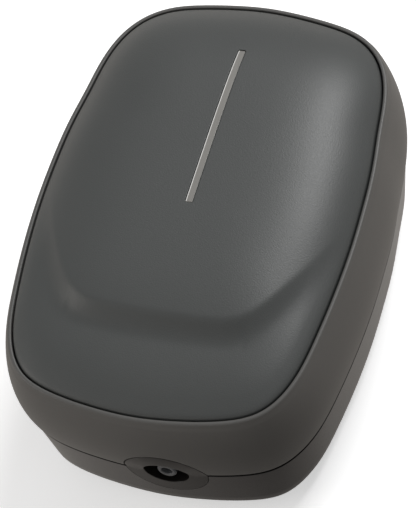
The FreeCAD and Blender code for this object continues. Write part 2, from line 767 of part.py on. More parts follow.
def pump_frame():
    leg_inner = core_half - dims.core_leg
    low, high = frame_bottom, frame_top
    plate = fuse(
        "frame_plate",
        box("frame_rear", -FRAME_HALF, FRAME_HALF, 14.0, 44.0, low, high),
        box("frame_mid", -FRAME_HALF, 33.0, -24.0, 14.0, low, high),
        box("frame_front", -20.0, 20.0, -36.0, -24.0, low, high),
        box("frame_rib_l", -core_half, -leg_inner, 15.0, core_back, high, core_bottom),
        box("frame_rib_r", leg_inner, core_half, 15.0, core_back, high, core_bottom))
    start = low - 2
    holes = [cyl("frame_window", 11.0, 8.0, 0, dims.filter_y, start)]
    for k, (x, y) in enumerate(MOUNTS):
        holes.append(cyl("frame_mount_hole_%d" % k, 2.0, 8.0, x, y, start))
    places = [(-STRAP_X, STRAP_Y), (STRAP_X, STRAP_Y),
              (BRACKET_X, dims.pivot_y + BRACKET_Y), (BRACKET_X, dims.pivot_y - BRACKET_Y)]
    for k, (x, y) in enumerate(places):
        holes.append(cyl("frame_screw_hole_%d" % k, 1.0, 8.0, x, y, start))
    return cut("pump_frame", plate, *holes)


def vibration_mounts():
    floor = dims.foot_rise + dims.floor_wall
    low, high = frame_bottom - floor, frame_top - floor
    neck = 1.95
    profile = [(0, 0), (4.0, 0), (3.3, 2.6), (4.0, low), (neck, low), (neck, high),
               (3.2, high), (1.8, high + 2.0), (0, high + 2.0)]
    return group("vibration_mounts", [turned("vibration_mount_%d" % k, profile, x, y, floor)
                                      for k, (x, y) in enumerate(MOUNTS)])


# ---- electromagnet -----------------------------------------------------------
BOBBIN_FRONT, BOBBIN_REAR = 15.0, 33.6
BOBBIN_FLANGE = 1.2                     # flange thickness
WINDING_FRONT, WINDING_REAR = BOBBIN_FRONT + BOBBIN_FLANGE, BOBBIN_REAR - BOBBIN_FLANGE
tube_half_x = dims.core_mid + 1.0       # outside of the bobbin's tube
tube_half_z = dims.core_stack / 2 + 1.0


def magnet_core():
    """E-shaped laminations with the open side to the front."""
    core = body("magnet_core", 0, 0, core_bottom)
    drawing = sketch(core, "magnet_core_lamination")
    mid, front = dims.core_mid, dims.core_front
    leg_inner = core_half - dims.core_leg
    yoke = core_back - dims.core_yoke
    outline(drawing, [
        (-core_half, core_back), (-core_half, front), (-leg_inner, front), (-leg_inner, yoke),
        (-mid, yoke), (-mid, front), (mid, front), (mid, yoke),
        (leg_inner, yoke), (leg_inner, front), (core_half, front), (core_half, core_back)])
    pad(core, drawing, dims.core_stack, "magnet_core_stack")
    return core


def coil_bobbin():
    half, half_z = dims.bobbin_half, 10.8
    hole_x, hole_z = dims.core_mid + 0.1, dims.core_stack / 2 + 0.1
    low, high = axis - half_z, axis + half_z
    post_top = high + 1.6
    solid = fuse(
        "bobbin_body",
        box("bobbin_tube", -tube_half_x, tube_half_x, BOBBIN_FRONT, BOBBIN_REAR,
            axis - tube_half_z, axis + tube_half_z),
        box("bobbin_flange_f", -half, half, BOBBIN_FRONT, WINDING_FRONT, low, high),
        box("bobbin_flange_r", -half, half, WINDING_REAR, BOBBIN_REAR, low, high),
        box("bobbin_post_l", -6.8, -5.2, WINDING_REAR, BOBBIN_REAR, high, post_top),
        box("bobbin_post_r", 5.2, 6.8, WINDING_REAR, BOBBIN_REAR, high, post_top))
    hole = box("bobbin_hole", -hole_x, hole_x, 10.0, 40.0, axis - hole_z, axis + hole_z)
    return cut("coil_bobbin", solid, hole)


def coil_winding():
    half_x, half_z, corner_rad = 10.0, 10.2, 2.4
    block = box("winding_block", -half_x, half_x, WINDING_FRONT, WINDING_REAR,
                axis - half_z, axis + half_z)
    rounded = doc.addObject("Part::Fillet", "winding_rounded")
    rounded.Base = block
    doc.recompute()     # the block needs its edges before they can be picked
    rounded.Edges = [(i, corner_rad, corner_rad) for i, e in enumerate(block.Shape.Edges, 1)
                     if abs(e.Vertexes[0].Y - e.Vertexes[1].Y) > 1]
    hole = box("winding_hole", -tube_half_x, tube_half_x, 10.0, 40.0,
               axis - tube_half_z, axis + tube_half_z)
    return cut("coil_winding", rounded, hole)


def core_clamp():
    thick = 1.5
    outer, top, foot_top = core_half + thick, core_top + thick, frame_top + thick
    front, rear = STRAP_Y - STRAP_HALF, STRAP_Y + STRAP_HALF
    strap = fuse(
        "core_strap",
        box("strap_top", -outer, outer, front, rear, core_top, top),
        box("strap_l", -outer, -core_half, front, rear, frame_top, top),
        box("strap_r", core_half, outer, front, rear, frame_top, top),
        box("strap_foot_l", -FRAME_HALF, -core_half, front, rear, frame_top, foot_top),
        box("strap_foot_r", core_half, FRAME_HALF, front, rear, frame_top, foot_top))
    return cut("core_clamp", strap,
               cyl("strap_hole_l", 1.1, 6.0, -STRAP_X, STRAP_Y, frame_top - 1),
               cyl("strap_hole_r", 1.1, 6.0, STRAP_X, STRAP_Y, frame_top - 1))


def core_screws():
    places = [(x, STRAP_Y, frame_top + 1.5) for x in (-STRAP_X, STRAP_X)]
    return small_screws("core_screws", places, 3.6)


# ---- swing arm ---------------------------------------------------------------
pivot_y = dims.pivot_y
arm_half = dims.arm_thick / 2
BUSH_RAD = 3.0
LUG_LIFT, LUG_THICK = 19.5, 2.5         # upper lug of the bracket above the frame
BASE_THICK = 2.0                        # base of the bracket


def swing_arm():
    half, tip = dims.magnet_half + 0.5, dims.arm_tip
    plate = fuse("arm_plate",
                 box("arm_blade", -arm_half, arm_half, pivot_y + 2.5, tip, axis - 4, axis + 4),
                 box("arm_head", -half, half, tip - 2, tip, axis - 5.5, axis + 5.5),
                 cyl("arm_eye", 4.0, 15.0, 0, pivot_y, axis - 7.5))
    return cut("swing_arm", plate,
               cyl("arm_eye_bore", dims.pin_rad, 30.0, 0, pivot_y, axis - 15),
               cyl("arm_stud_bore", 1.55, 10.0, -5.0, dims.chamber_y, axis, TO_X))


def arm_magnet():
    half, tip = dims.magnet_half, dims.arm_tip
    return box("arm_magnet", -half, half, tip, tip + dims.magnet_thick, axis - 5, axis + 5)


def pivot_pin():
    half_length = 10.7
    return cyl("pivot_pin", dims.pin_rad, 2 * half_length, 0, pivot_y, axis - half_length)


def pivot_bracket():
    bracket = body("pivot_bracket", 0, pivot_y, 0)
    left, half_y = -9.0, 4.5
    # (name, right edge, height of the underside, thickness)
    for name, right, lift, thick in (
            ("base", 11.0, frame_top, BASE_THICK),
            ("column", -6.5, frame_top, LUG_LIFT + LUG_THICK),
            ("lug", 4.5, frame_top + LUG_LIFT, LUG_THICK)):
        drawing = sketch(bracket, "pivot_bracket_" + name, lift=lift)
        outline(drawing, rectangle(left, right, -half_y, half_y))
        pad(bracket, drawing, thick, "pivot_bracket_%s_pad" % name)
    drawing = sketch(bracket, "pivot_bracket_bores", lift=frame_top - 1.0)
    circle(drawing, 0, 0, BUSH_RAD)
    circle(drawing, BRACKET_X, BRACKET_Y, 1.1)
    circle(drawing, BRACKET_X, -BRACKET_Y, 1.1)
    pocket(bracket, drawing, 40.0, "pivot_bracket_bore_cut")
    return bracket


def pivot_bushes():
    bore = dims.pin_rad + dims.bush_gap
    return group("pivot_bushes", [
        turned("pivot_bush_low", rectangle(bore, BUSH_RAD, 0, BASE_THICK),
               0, pivot_y, frame_top),
        turned("pivot_bush_top", rectangle(bore, BUSH_RAD, 0, LUG_THICK),
               0, pivot_y, frame_top + LUG_LIFT)])


def bracket_screws():
    places = [(BRACKET_X, pivot_y + y, frame_top + BASE_THICK) for y in (-BRACKET_Y, BRACKET_Y)]
    return small_screws("bracket_screws", places, 4.2)


# ---- diaphragm and its hub ---------------------------------------------------
chamber_x, chamber_y = dims.chamber_x, dims.chamber_y
HUB_THICK = 1.2
HUB_BORE = 1.55
hub_end = chamber_x + dims.diaphragm_thick + HUB_THICK      # chamber side of the hub


def diaphragm():
    profile = rectangle(1.6, dims.diaphragm_rad, 0, dims.diaphragm_thick)
    return turned("diaphragm", profile, chamber_x, chamber_y, axis, TO_X)


def diaphragm_plates():
    rad, spacer_rad = dims.hub_rad, 3.2
    length = chamber_x - arm_half
    arm_side = [(HUB_BORE, 0), (spacer_rad, 0), (spacer_rad, length - HUB_THICK),
                (rad, length - HUB_THICK), (rad, length), (HUB_BORE, length)]
    chamber_side = [(HUB_BORE, 0), (rad, 0), (rad - 0.4, HUB_THICK), (HUB_BORE, HUB_THICK)]
    return group("diaphragm_plates", [
        turned("hub_plate_arm", arm_side, arm_half, chamber_y, axis, TO_X),
        turned("hub_plate_chamber", chamber_side, chamber_x + dims.diaphragm_thick,
               chamber_y, axis, TO_X)])


def diaphragm_screw():
    """Runs towards -X from its head in the chamber, through hub and arm."""
    head, rad = 1.6, 1.5
    tip = hub_end + 5.6 + head
    profile = [(0, 0.6), (1.0, 0), (2.4, 0), (2.8, 0.5), (2.8, head), (rad, head),
               (rad, tip - 0.4), (0, tip)]
    return turned("diaphragm_screw", profile, hub_end + head, chamber_y, axis, TO_NEG_X)


def arm_nut():
    nut = body("arm_nut", -arm_half, chamber_y, axis, TO_NEG_X)
    drawing = sketch(nut, "arm_nut_hexagon")
    corner_rad = 3.2
    angles = [math.radians(60 * k) for k in range(6)]
    outline(drawing, [(corner_rad * math.cos(a), corner_rad * math.sin(a)) for a in angles])
    pad(nut, drawing, 2.4, "arm_nut_pad")
    drawing = sketch(nut, "arm_nut_bore")
    circle(drawing, 0, 0, 1.5)
    pocket(nut, drawing, 6.0, "arm_nut_bore_cut")
    return nut


# ---- air chamber: square plates stacked along +X -----------------------------
chamber_half = dims.chamber_half
chamber_front = chamber_y - chamber_half
gasket_x = chamber_x + 11.2
valve_x = gasket_x + 0.8
cover_x = valve_x + 2.4
cover_end = cover_x + 9.8
CHAMBER_SCREW = 8.9                     # screws from the chamber axis, Y and Z
SPOUT_X = 25.5                          # spout and intake of the chamber cover
screw_places = [(chamber_y + a * CHAMBER_SCREW, axis + b * CHAMBER_SCREW) for a, b in CORNERS]


def square_plate(name, x0, x1):
    return box(name, x0, x1, chamber_front, chamber_y + chamber_half,
               axis - chamber_half, axis + chamber_half)


def corner_holes(prefix, rad):
    return [cyl("%s_%d" % (prefix, k), rad, 60.0, 0.0, y, z, TO_X)
            for k, (y, z) in enumerate(screw_places)]


def chamber_body():
    return cut("chamber_body", square_plate("chamber_block", chamber_x, gasket_x),
               cyl("chamber_bore", dims.chamber_bore, 40.0, 0, chamber_y, axis, TO_X),
               cyl("chamber_recess", dims.diaphragm_rad + 0.05, dims.diaphragm_thick + 10,
                   chamber_x - 10, chamber_y, axis, TO_X),
               *corner_holes("chamber_hole", 1.2))


def diaphragm_ring():
    return cut("diaphragm_ring",
               square_plate("diaphragm_ring_plate", chamber_x - 1.5, chamber_x),
               cyl("diaphragm_ring_bore", dims.chamber_bore + 0.2, 40.0, 0, chamber_y, axis,
                   TO_X),
               *corner_holes("ring_hole", 1.2))


def chamber_gasket():
    return cut("chamber_gasket", square_plate("gasket_sheet", gasket_x, valve_x),
               cyl("gasket_bore", dims.chamber_bore, 60.0, 0, chamber_y, axis, TO_X),
               *corner_holes("gasket_hole", 1.25))


def valve_plate():
    plate = body("valve_plate", valve_x, chamber_y, axis, TO_X)
    drawing = sketch(plate, "valve_plate_blank")
    outline(drawing, rectangle(-chamber_half, chamber_half, -chamber_half, chamber_half))
    pad(plate, drawing, 2.4, "valve_plate_pad")
    drawing = sketch(plate, "valve_plate_ports")
    for y in (4.5, -4.5):
        circle(drawing, 0.5, y, 1.6)
    for side, end in CORNERS:
        circle(drawing, side * CHAMBER_SCREW, end * CHAMBER_SCREW, 1.25)
    pocket(plate, drawing, 6.0, "valve_plate_port_cut")
    return plate


def flap(name, x, y):
    return box(name, x, x + dims.flap_thick, y, y + 5.0, axis - 3.5, axis + 3.0)


def inlet_flap():
    return flap("inlet_flap", valve_x - dims.flap_thick, chamber_y + 2.0)


def outlet_flap():
    return flap("outlet_flap", cover_x, chamber_y - 7.0)


def chamber_cover():
    near, far = 0.6, 7.6                # each plenum from the middle, Y
    half_z = CHAMBER_SCREW - 2.2
    x0, x1, z0, z1 = cover_x - 1, cover_x + 8.2, axis - half_z, axis + half_z
    block = fuse("chamber_cover_block", square_plate("chamber_cover_box", cover_x, cover_end),
                 cyl("chamber_spout", dims.barb_rad, 5.0, SPOUT_X, chamber_front + 0.5, axis,
                     TO_NEG_Y))
    return cut("chamber_cover", block,
               box("plenum_out", x0, x1, chamber_y - far, chamber_y - near, z0, z1),
               box("plenum_in", x0, x1, chamber_y + near, chamber_y + far, z0, z1),
               cyl("spout_bore", 1.3, 14.0, SPOUT_X, chamber_y - 4.0, axis, TO_NEG_Y),
               cyl("intake_bore", 2.0, 10.0, SPOUT_X, chamber_y + 4.0, axis, TO_Y),
               *corner_holes("cover_hole", 1.25))


def chamber_screws():
    places = [(cover_end, y, z) for y, z in screw_places]
    return small_screws("chamber_screws", places, 22.5, rad=1.2, head=2.1, turn=TO_NEG_X)


# ---- hose, cord and wires ----------------------------------------------------
# One lead on the +X side, (x, y, z) from the bobbin post down to the cord
LEAD_PATH = [(6.0, 34.4, 36.1), (6.0, 38.0, 36.3), (5.6, 42.6, 34.6), (5.0, 44.8, 29.0),
             (4.4, 45.2, 22.5), (3.0, 45.2, 17.0), (1.3, 45.3, 14.4)]
LEAD_RAD = 0.6
CORD_START_Y, CORD_BEND_Y = 46.0, 70.5
cord_top = dims.cord_z + dims.cord_rad
CLAMP_THICK = 2.4                       # top of the clamp above the cord


def sweep(path, rad, start, direction):
    profile = Part.Wire([Part.makeCircle(rad, start, direction)])
    return path.makePipeShell([profile], True, True)


def inner_air_tube():
    """Straight end, two equal arcs in an S, straight end; from spout to nipple tail."""
    spout = Vector(SPOUT_X, -25.7, mm.axis_z)
    tail = Vector(mm.collar_x, -41.6, mm.axis_z)
    across, along = spout.x - tail.x, spout.y - tail.y
    bend = (across**2 + along**2) / (4 * across)
    angle = math.degrees(math.atan2(along / (2 * bend), 1 - across / (2 * bend)))
    to_centre = Vector(bend, 0, 0)

    def arc(start, centre, rad):
        face = Part.Face(Part.Wire([Part.makeCircle(rad, start, FRONTWARD)]))
        return face.revolve(centre, Vector(0, 0, -1), angle)

    def pieces(rad):
        return [rod(rad, 4.5, spout.x, spout.y + 4.5, mm.axis_z, FRONTWARD),
                arc(spout, spout - to_centre, rad),
                arc(tail, tail + to_centre, rad),
                rod(rad, 5.2, tail.x, tail.y, mm.axis_z, FRONTWARD)]

    outer = pieces(mm.barb_rad + mm.hose_wall)
    walls = [solid.cut(bore) for solid, bore in zip(outer, pieces(mm.barb_rad))]
    return feature("inner_air_tube", walls[0].fuse(walls[1:]))


def power_cord():
    z = mm.cord_z
    start, bend_start = Vector(0, CORD_START_Y, z), Vector(0, CORD_BEND_Y, z)
    bend = Part.BezierCurve()
    bend.setPoles([bend_start, Vector(0, 76.0, z), Vector(0, 80.5, z - 1.6),
                   Vector(0, 84.5, z - 4.6)])
    path = Part.Wire([Part.makeLine(start, bend_start), bend.toShape()])
    return feature("power_cord", sweep(path, mm.cord_rad, start, REARWARD))


def cord_grommet():
    bore = dims.cord_rad + 0.02
    return turned("cord_grommet", [
        (bore, -1.85), (5.6, -1.85), (5.6, -0.65), (4.1, -0.65), (4.1, 0.65), (6.2, 0.65),
        (6.2, 1.7), (4.7, 2.5), (4.6, 4.2), (4.0, 4.2), (4.0, 5.0), (4.45, 5.0), (4.35, 6.6),
        (3.85, 6.6), (3.85, 7.4), (4.25, 7.4), (4.15, 9.0), (3.7, 9.0), (3.7, 9.8), (4.0, 9.8),
        (3.8, 11.6), (bore, 11.6)], 0, 57.55, dims.cord_z, TO_Y)


def cord_clamp():
    bar = box("cord_clamp_bar", -11.0, 11.0, CLAMP_Y - CLAMP_HALF, CLAMP_Y + CLAMP_HALF,
              cord_top + 0.05, cord_top + CLAMP_THICK)
    return cut("cord_clamp", bar,
               cyl("cord_clamp_hole_l", 1.25, 12.0, -CLAMP_X, CLAMP_Y, 10.0),
               cyl("cord_clamp_hole_r", 1.25, 12.0, CLAMP_X, CLAMP_Y, 10.0))


def cord_clamp_screws():
    places = [(x, CLAMP_Y, cord_top + CLAMP_THICK) for x in (-CLAMP_X, CLAMP_X)]
    return small_screws("cord_clamp_screws", places, 8.5, rad=1.1)


def lead_wires():
    leads = []
    for side in (-1, 1):
        points = [Vector(side * x, y, z) for x, y, z in LEAD_PATH]
        curve = Part.BSplineCurve()
        curve.interpolate(points)
        direction = curve.tangent(curve.FirstParameter)[0]
        lead = sweep(Part.Wire([curve.toShape()]), LEAD_RAD, points[0], direction)
        leads.append(feature("lead_%d" % (side + 1), lead))
    return group("lead_wires", leads)


# ---- build, check and export -------------------------------------------------
BUILDERS = [
    lower_shell, upper_shell, top_cover, accent_strip, outlet_collar, outlet_nipple,
    rubber_feet, housing_screws, filter_cap, filter_felt, pump_frame, vibration_mounts,
    magnet_core, coil_bobbin, coil_winding, core_clamp, core_screws,
    swing_arm, arm_magnet, pivot_pin, pivot_bracket, pivot_bushes, bracket_screws,
    diaphragm, diaphragm_plates, diaphragm_screw, arm_nut,
    chamber_body, diaphragm_ring, chamber_gasket, valve_plate, inlet_flap, outlet_flap,
    chamber_cover, chamber_screws,
    inner_air_tube, power_cord, cord_grommet, cord_clamp, cord_clamp_screws, lead_wires]
pieces = [build() for build in BUILDERS]
doc.recompute()

bad = ["%s %s" % (obj.Name, obj.State) for obj in doc.Objects
       if "Invalid" in obj.State or "Error" in obj.State]
for piece in pieces:
    if piece.Shape.isNull() or not piece.Shape.isValid() or not piece.Shape.Solids:
        bad.append("shape of %s" % piece.Label)
if bad:
    raise RuntimeError("bad objects: " + "; ".join(bad))

os.makedirs("parts", exist_ok=True)
for piece in pieces:
    piece.Shape.exportStep("parts/%s.step" % piece.Label)
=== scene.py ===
"""Looks of an oval two-shell housing, about 84 mm wide (X) and 121 mm long (Y), with Z up.

The upper shell, the domed cover in its rim and the metal strip let into the cover are
modelled here. All other pieces keep their CAD shape and get a material. The housing surfaces
are in mm in the housing's own frame, which is moved along Y onto the CAD pieces.
"""
import json
import math

import bmesh
import bpy
import numpy as np
from mathutils import Matrix, Vector


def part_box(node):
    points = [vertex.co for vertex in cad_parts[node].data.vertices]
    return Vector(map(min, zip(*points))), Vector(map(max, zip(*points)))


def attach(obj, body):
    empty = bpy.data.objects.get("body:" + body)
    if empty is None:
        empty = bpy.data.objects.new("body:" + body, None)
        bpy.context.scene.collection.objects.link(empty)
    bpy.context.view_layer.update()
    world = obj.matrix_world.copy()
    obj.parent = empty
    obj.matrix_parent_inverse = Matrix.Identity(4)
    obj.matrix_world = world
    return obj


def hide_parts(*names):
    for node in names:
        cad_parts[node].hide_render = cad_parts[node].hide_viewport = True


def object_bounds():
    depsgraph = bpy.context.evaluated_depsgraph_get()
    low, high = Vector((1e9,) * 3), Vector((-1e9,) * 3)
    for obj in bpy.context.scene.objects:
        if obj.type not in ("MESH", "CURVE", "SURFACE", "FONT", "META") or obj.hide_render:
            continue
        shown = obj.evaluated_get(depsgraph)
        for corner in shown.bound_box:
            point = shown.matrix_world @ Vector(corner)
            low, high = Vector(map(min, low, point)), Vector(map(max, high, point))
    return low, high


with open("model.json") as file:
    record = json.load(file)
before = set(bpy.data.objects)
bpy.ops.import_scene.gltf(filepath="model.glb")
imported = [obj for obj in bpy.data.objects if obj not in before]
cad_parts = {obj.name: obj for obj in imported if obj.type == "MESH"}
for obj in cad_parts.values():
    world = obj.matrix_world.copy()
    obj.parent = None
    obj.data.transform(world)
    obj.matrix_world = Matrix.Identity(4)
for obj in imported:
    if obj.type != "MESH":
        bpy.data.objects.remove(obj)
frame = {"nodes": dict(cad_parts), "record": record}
CAD_LO, CAD_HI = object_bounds()
nodes = frame["nodes"]
scene = bpy.context.scene

# The pivot pin gives the place of the housing's frame: its axis is at a known Y there, and
# its height is that of the parting plane, where the shells meet.
PIN_Y = -30.0
pin_lo, pin_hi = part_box("pivot_pin")
SHIFT_Y = round((pin_lo.y + pin_hi.y) * 500 - PIN_Y, 3)
PARTING_Z = round((pin_lo.z + pin_hi.z) * 500, 3)

# ---- Housing dimensions, mm -------------------------------------------------------
# Outline at the parting plane: (x, y) of the +X half, from the +Y end to the -Y end.
HALF_OUTLINE = [
    (0.0, 60.7), (8.38, 60.14), (16.77, 58.86), (25.1, 56.51), (32.16, 51.51),
    (36.74, 43.98), (38.86, 35.48), (39.83, 27.54), (40.77, 20.49), (41.41, 13.8),
    (41.73, 7.24), (41.94, 0.6), (42.0, -6.4), (41.76, -14.04), (41.15, -22.66),
    (40.03, -32.79), (37.53, -44.41), (31.2, -53.99), (21.27, -58.21), (10.65, -60.0),
    (0.0, -60.7),
]
# Groove between shell and cover: (degrees from +Y about the centre, inset from the outline).
GROOVE = [(0, 1.9), (30, 1.7), (50, 1.85), (90, 1.6), (125, 1.7), (140, 1.65), (155, 1.35),
          (180, 1.2)]
# Crest of the step across the cover: (distance from the middle, y).
CREST = [
    (0.0, -35.2), (5.0, -35.15), (10.0, -35.0), (14.6, -34.7), (17.5, -34.3),
    (19.9, -33.5), (22.0, -32.2), (23.8, -30.7), (26.6, -27.0), (30.1, -21.0),
    (33.8, -13.9), (36.9, -6.6), (40.5, 0.8), (45.0, 9.5),
]
CENTRE_Y = 7.2           # centre of the cover
CENTRE = np.array([0, CENTRE_Y])
OUTLINE_STEPS = 420

DOME_RISE = 8.3          # middle of the dome above the rim
DOME_POWER = 4.4         # a higher power gives a flatter middle
STEP_DROP = 2.9
STEP_LENGTH = 6.2
STEP_SOFTNESS = 0.06     # rounds the crest
STEP_BREAK = 0.42        # share of the step's length that has a steady slope
STEP_FADE = 0.35         # share of the radius over which the step dies out at the edge

GROOVE_HALF = 0.22       # half width of the groove
LIP = 1.4                # from the groove's middle out to the top of the outer wall
BULGE = 2.0              # of the outer wall at mid height
WALL = 2.2
SEAT_DEPTH = 3.2         # from the rim down to the floor under the cover
DECK = 2.0               # thickness of that floor
INNER_ROUND, OUTER_ROUND = 0.30, 0.62    # radii along the top of the lip
SEAM = 0.55              # lower edge of the shell above the parting plane
REBATE_INSET, REBATE_TOP = 1.3, 1.7      # rebate inside the lower edge

POST_X, POST_Y = 27.0, 40.0
POST_RADIUS, POST_HOLE_RADIUS = 3.6, 1.5
BORE_X = 4.4
BORE_RADIUS, POCKET_RADIUS = 10.7, 12.2

COVER_WALL = 2.2
COVER_EDGE_WIDTH, COVER_EDGE_DROP = 0.95, 0.55      # rounding along the cover's edge
COVER_EDGE_RINGS = (1.9, 1.5, 1.2, 0.95, 0.72, 0.5, 0.32, 0.17, 0.06, 0.0)  # mm from the edge

STRIP_HALF = 0.95
STRIP_Y0, STRIP_Y1 = -4.9, 41.5
STRIP_SINK = 0.12        # top of the strip below the dome
STRIP_BED = 1.0          # bottom of the strip below the dome
STRIP_CLEARANCE = 0.12   # between strip and slot


# ---- Curves and surfaces ------------------------------------------------------------
def interpolate(rows, at, flat_ends):
    """Smooth cubic value at a place in (place, value) rows, constant beyond the ends."""
    if at <= rows[0][0]:
        return rows[0][1]
    if at >= rows[-1][0]:
        return rows[-1][1]
    i = max(k for k in range(len(rows) - 1) if rows[k][0] <= at)
    (x0, y0), (x1, y1) = rows[i], rows[i + 1]
    x_before, y_before = 2 * x0 - x1, y1 if flat_ends else 2 * y0 - y1
    x_after, y_after = 2 * x1 - x0, y0 if flat_ends else 2 * y1 - y0
    if i > 0:
        x_before, y_before = rows[i - 1]
    if i + 2 < len(rows):
        x_after, y_after = rows[i + 2]
    slope0 = (y1 - y_before) / (x1 - x_before)
    slope1 = (y_after - y0) / (x_after - x0)
    width = x1 - x0
    u = (at - x0) / width
    return ((2 * u**3 - 3 * u**2 + 1) * y0 + (u**3 - 2 * u**2 + u) * width * slope0
            + (-2 * u**3 + 3 * u**2) * y1 + (u**3 - u**2) * width * slope1)


def closed_spline(points, count):
    """Points and tangents on the closed cubic spline through points (chord-length knots)."""
    p = np.array(points, float)
    m = len(p)
    chord = np.linalg.norm(np.roll(p, -1, 0) - p, axis=1)
    system = np.zeros((m, m))
    rhs = np.zeros((m, 2))
    for i in range(m):
        j, k = (i - 1) % m, (i + 1) % m
        system[i, j], system[i, i], system[i, k] = chord[j], 2 * (chord[j] + chord[i]), chord[i]
        rhs[i] = 6 * ((p[k] - p[i]) / chord[i] - (p[i] - p[j]) / chord[j])
    curve = np.linalg.solve(system, rhs)    # second derivatives at the knots
    knots = np.concatenate([[0], np.cumsum(chord)])
    places, tangents = [], []
    for s in np.arange(count) * knots[-1] / count:
        i = min(int(np.searchsorted(knots, s, "right")) - 1, m - 1)
        k, t, d = (i + 1) % m, s - knots[i], chord[i]
        slope = (p[k] - p[i]) / d - d * (2 * curve[i] + curve[k]) / 6
        change = curve[k] - curve[i]
        places.append(p[i] + slope * t + curve[i] * t * t / 2 + change * t**3 / (6 * d))
        tangents.append(slope + curve[i] * t + change * t * t / (2 * d))
    return np.array(places), np.array(tangents)


def outline(count):
    """Points round the outline, their inward normals and the groove's inset at each."""
    mirrored = [(-x, y) for x, y in HALF_OUTLINE[1:-1]][::-1]
    p, tangent = closed_spline(HALF_OUTLINE + mirrored, count)
    tangent /= np.linalg.norm(tangent, axis=1)[:, None]
    normal = np.stack([-tangent[:, 1], tangent[:, 0]], 1)
    normal[(normal * p).sum(1) > 0] *= -1
    angles = np.degrees(np.arctan2(np.abs(p[:, 0]), p[:, 1] - CENTRE_Y))
    return p, normal, np.array([interpolate(GROOVE, a, True) for a in angles])


def rim(y):
    """Height of the shell's rim along Y."""
    v = y / 60.0
    return PARTING_Z + 28.2 + 2.74 * v - 1.4 * v * v


def polar(x, y):
    """Angle from +Y and distance, about the cover's centre."""
    return np.arctan2(x, y - CENTRE_Y), np.hypot(x, y - CENTRE_Y)


fine_points, fine_normals, fine_groove = outline(1440)
groove_angles, groove_radii = polar(*(fine_points + fine_normals * fine_groove[:, None]).T)
crest_x = np.arange(0.0, 45.01, 0.1)
crest_y = np.array([interpolate(CREST, x, False) for x in crest_x])
crest_slope = np.gradient(crest_y, crest_x)


def dome(x, y, step=True):
    """Height of the cover's top surface, with or without the step towards -Y."""
    x, y = np.asarray(x, float), np.asarray(y, float)
    angle, radius = polar(x, y)
    share = radius / np.interp(angle, groove_angles, groove_radii, period=2 * math.pi)
    z = rim(y) + DOME_RISE * (1 - share**DOME_POWER)
    if step:
        slope = np.interp(np.abs(x), crest_x, crest_slope)
        past = (np.interp(np.abs(x), crest_x, crest_y) - y) / np.sqrt(1 + slope * slope)
        past = 0.5 * (past + np.sqrt(past * past + STEP_SOFTNESS))
        u = np.minimum(past / STEP_LENGTH, 1.0)
        # A steady slope from the crest, then an easing out that meets it at the same slope.
        run = (1 + STEP_BREAK) / 2
        ease = 2 * run * (1 - STEP_BREAK)
        fall = np.where(u < STEP_BREAK, u / run, 1 - (1 - u)**2 / ease)
        fade = np.clip((1.0 - share) / STEP_FADE, 0, 1)
        z = z - STEP_DROP * fall * fade * fade * (3 - 2 * fade)
    return z


def mid_line(y):
    """Height of the plain dome along the middle."""
    return float(dome(0, y, step=False))


# ---- Mesh helpers -----------------------------------------------------------------
def to_scene(points):
    """Housing frame in mm to scene metres."""
    points = np.array(points, float)
    points[..., 1] += SHIFT_Y
    return points / 1000


def make(name, verts, faces):
    mesh = bpy.data.meshes.new(name)
    mesh.from_pydata([tuple(v) for v in to_scene(verts)], [], faces)
    mesh.validate()
    obj = bpy.data.objects.new(name, mesh)
    scene.collection.objects.link(obj)
    bm = bmesh.new()
    bm.from_mesh(mesh)
    bmesh.ops.recalc_face_normals(bm, faces=bm.faces)
    bm.to_mesh(mesh)
    bm.free()
    return obj


def make_stack(name, rings):
    """Mesh from a stack of equal rings; a ring of one point closes an end."""
    verts, faces, start = [], [], []
    count = max(len(r) for r in rings)
    for r in rings:
        start.append(len(verts))
        verts.extend(r)
    for i in range(len(rings) - 1):
        a, b = start[i], start[i + 1]
        for k in range(count):
            q = (k + 1) % count
            if len(rings[i]) == 1:
                faces.append((a, b + k, b + q))
            elif len(rings[i + 1]) == 1:
                faces.append((a + k, b, a + q))
            else:
                faces.append((a + k, b + k, b + q, a + q))
    return make(name, verts, faces)


def rod(name, radius, start, end, sides):
    """Closed cylinder between two points."""
    start, end = np.array(start, float), np.array(end, float)
    axis = (end - start) / np.linalg.norm(end - start)
    u = np.cross(axis, [0.3, 0.5, 0.8])
    u /= np.linalg.norm(u)
    v = np.cross(axis, u)
    t = np.linspace(0, 2 * math.pi, sides, endpoint=False)
    circle = radius * (np.cos(t)[:, None] * u + np.sin(t)[:, None] * v)
    return make_stack(name, [[start], start + circle, end + circle, [end]])


